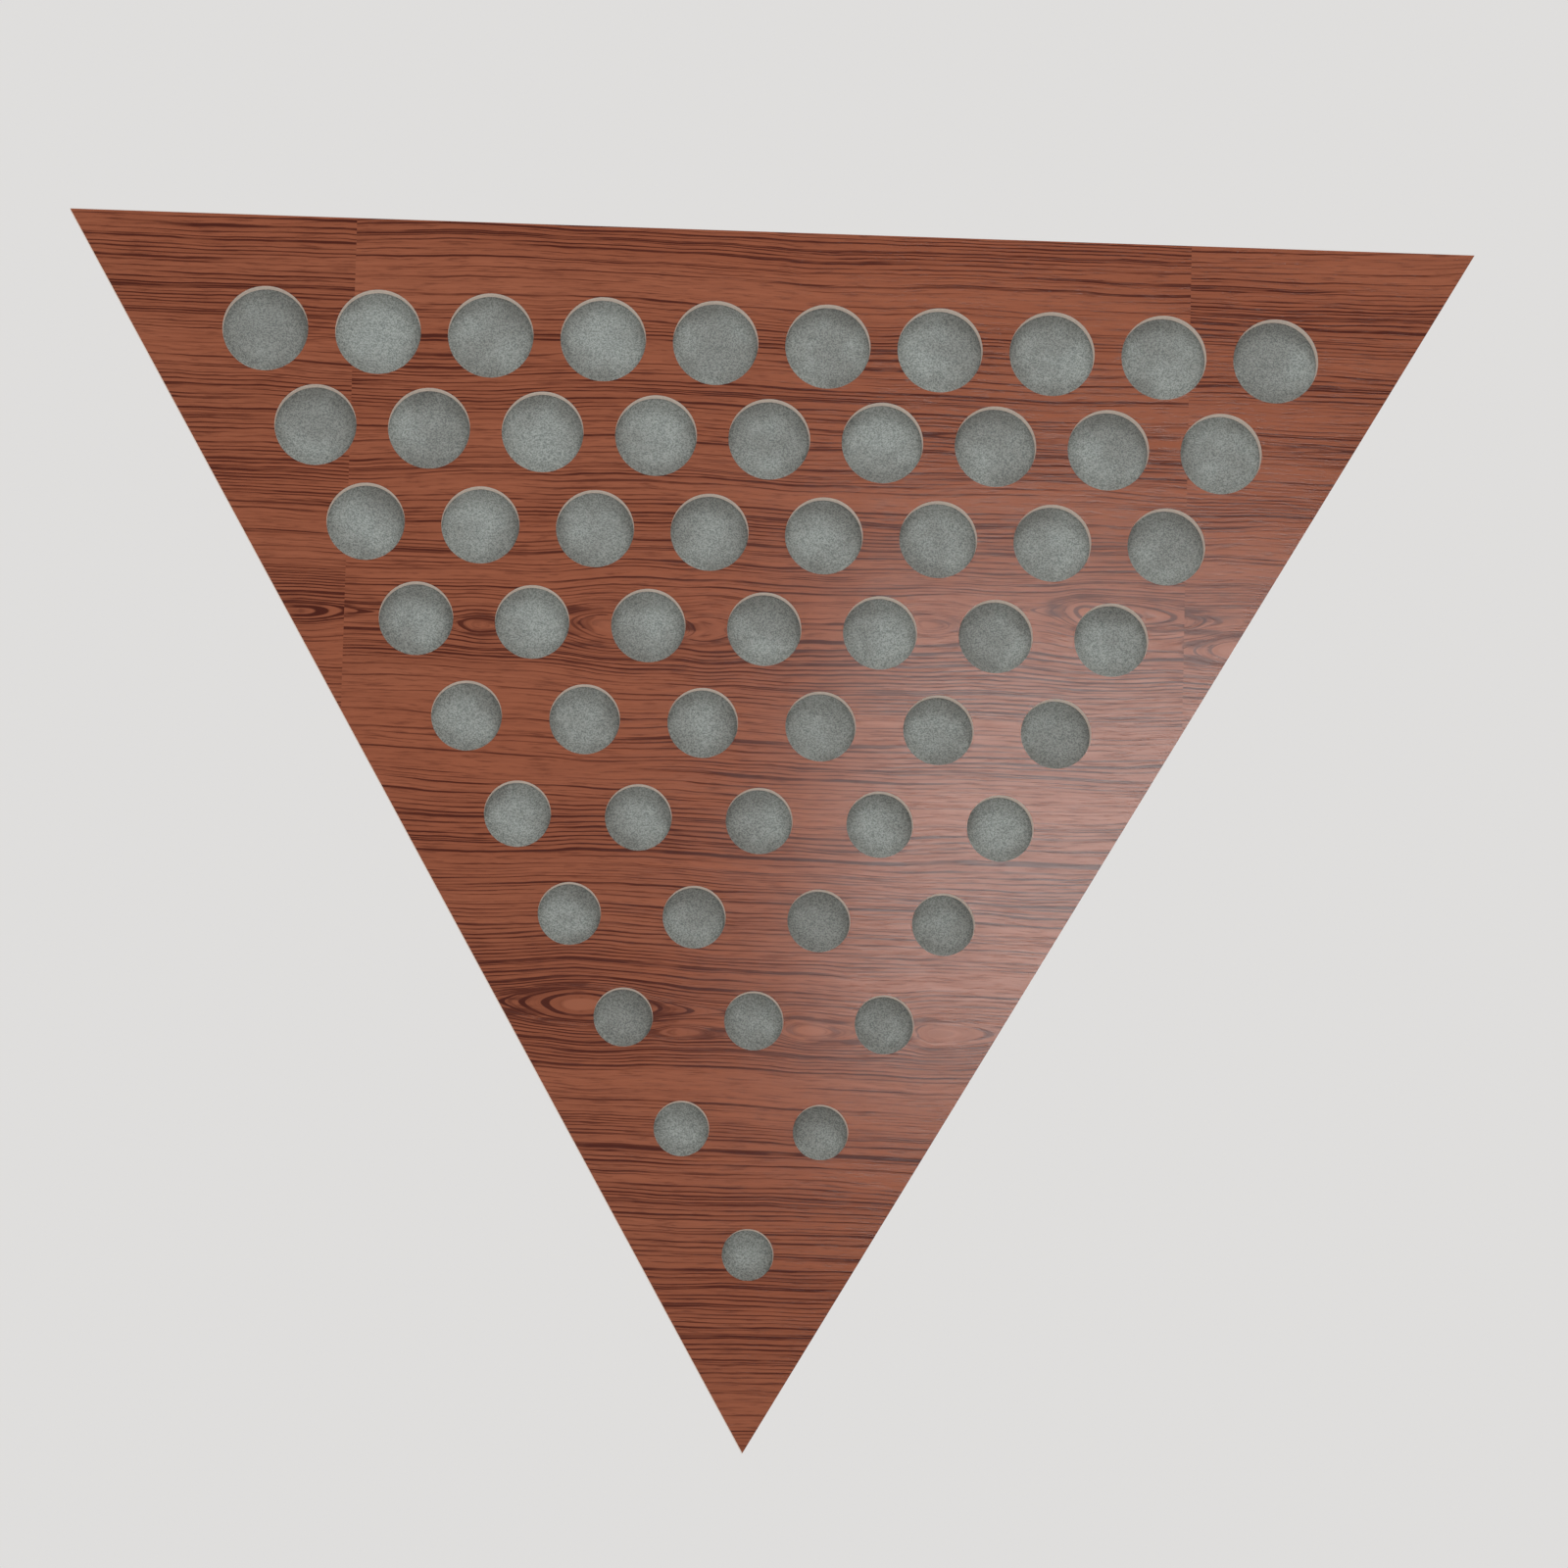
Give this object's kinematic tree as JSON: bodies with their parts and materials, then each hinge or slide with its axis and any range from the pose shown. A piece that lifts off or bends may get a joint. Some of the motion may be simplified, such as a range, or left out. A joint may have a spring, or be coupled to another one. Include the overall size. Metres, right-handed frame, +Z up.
{
  "type": "corner bass trap",
  "caption": "Triangular perforated wood-finish panel on a batten frame filled with mineral wool slabs, hung where two walls meet a ceiling to absorb low sound.",
  "frame": {"origin": "the point of the room's corner, where the two walls meet the ceiling; the part hangs below it", "axes": "+Z up, square to the ceiling (the plane z = 0); +X to the right for someone who looks into the corner; -Y out into the room, midway between the two walls"},
  "size_m": [0.6, 0.307, 0.4294],
  "materials": {
    "laminate": "satin",
    "board": "matte",
    "felt": "matte",
    "timber": "matte",
    "nickel": "polished",
    "zinc": "satin",
    "passivated_zinc": "satin",
    "wool": "matte",
    "fleece": "matte"
  },
  "bodies": {
    "wall_frame": {"ceiling_batten": "timber", "left_wall_batten": "timber", "right_wall_batten": "timber", "ceiling_fleece": "fleece", "left_wall_fleece": "fleece", "right_wall_fleece": "fleece", "ceiling_magnet_left": "nickel", "ceiling_magnet_right": "nickel", "left_wall_magnet_left": "nickel", "left_wall_magnet_right": "nickel", "right_wall_magnet_left": "nickel", "right_wall_magnet_right": "nickel", "ceiling_magnet_screw_left": "passivated_zinc", "ceiling_magnet_screw_right": "passivated_zinc", "left_wall_magnet_screw_left": "passivated_zinc", "left_wall_magnet_screw_right": "passivated_zinc", "right_wall_magnet_screw_left": "passivated_zinc", "right_wall_magnet_screw_right": "passivated_zinc", "lower_corner_bracket": "zinc", "right_corner_bracket": "zinc", "left_corner_bracket": "zinc", "lower_bracket_screw_1": "passivated_zinc", "lower_bracket_screw_2": "passivated_zinc", "right_bracket_screw_1": "passivated_zinc", "right_bracket_screw_2": "passivated_zinc", "left_bracket_screw_1": "passivated_zinc", "left_bracket_screw_2": "passivated_zinc", "absorber_slab_1": "wool", "absorber_slab_2": "wool", "absorber_slab_3": "wool", "absorber_slab_4": "wool", "absorber_tip": "wool"},
    "front_panel": {"panel_core": "board", "decor_face": "laminate", "felt_lining": "felt", "ceiling_strike_disc_left": "zinc", "ceiling_strike_disc_right": "zinc", "left_wall_strike_disc_left": "zinc", "left_wall_strike_disc_right": "zinc", "right_wall_strike_disc_left": "zinc", "right_wall_strike_disc_right": "zinc", "ceiling_strike_screw_left": "passivated_zinc", "ceiling_strike_screw_right": "passivated_zinc", "left_wall_strike_screw_left": "passivated_zinc", "left_wall_strike_screw_right": "passivated_zinc", "right_wall_strike_screw_left": "passivated_zinc", "right_wall_strike_screw_right": "passivated_zinc"}
  },
  "joints": [
    {"name": "panel_pull_off", "type": "slide", "parent": "wall_frame", "child": "front_panel", "axis": [0, -0.8165, -0.5773], "range_m": [0, 0.12]}
  ]
}
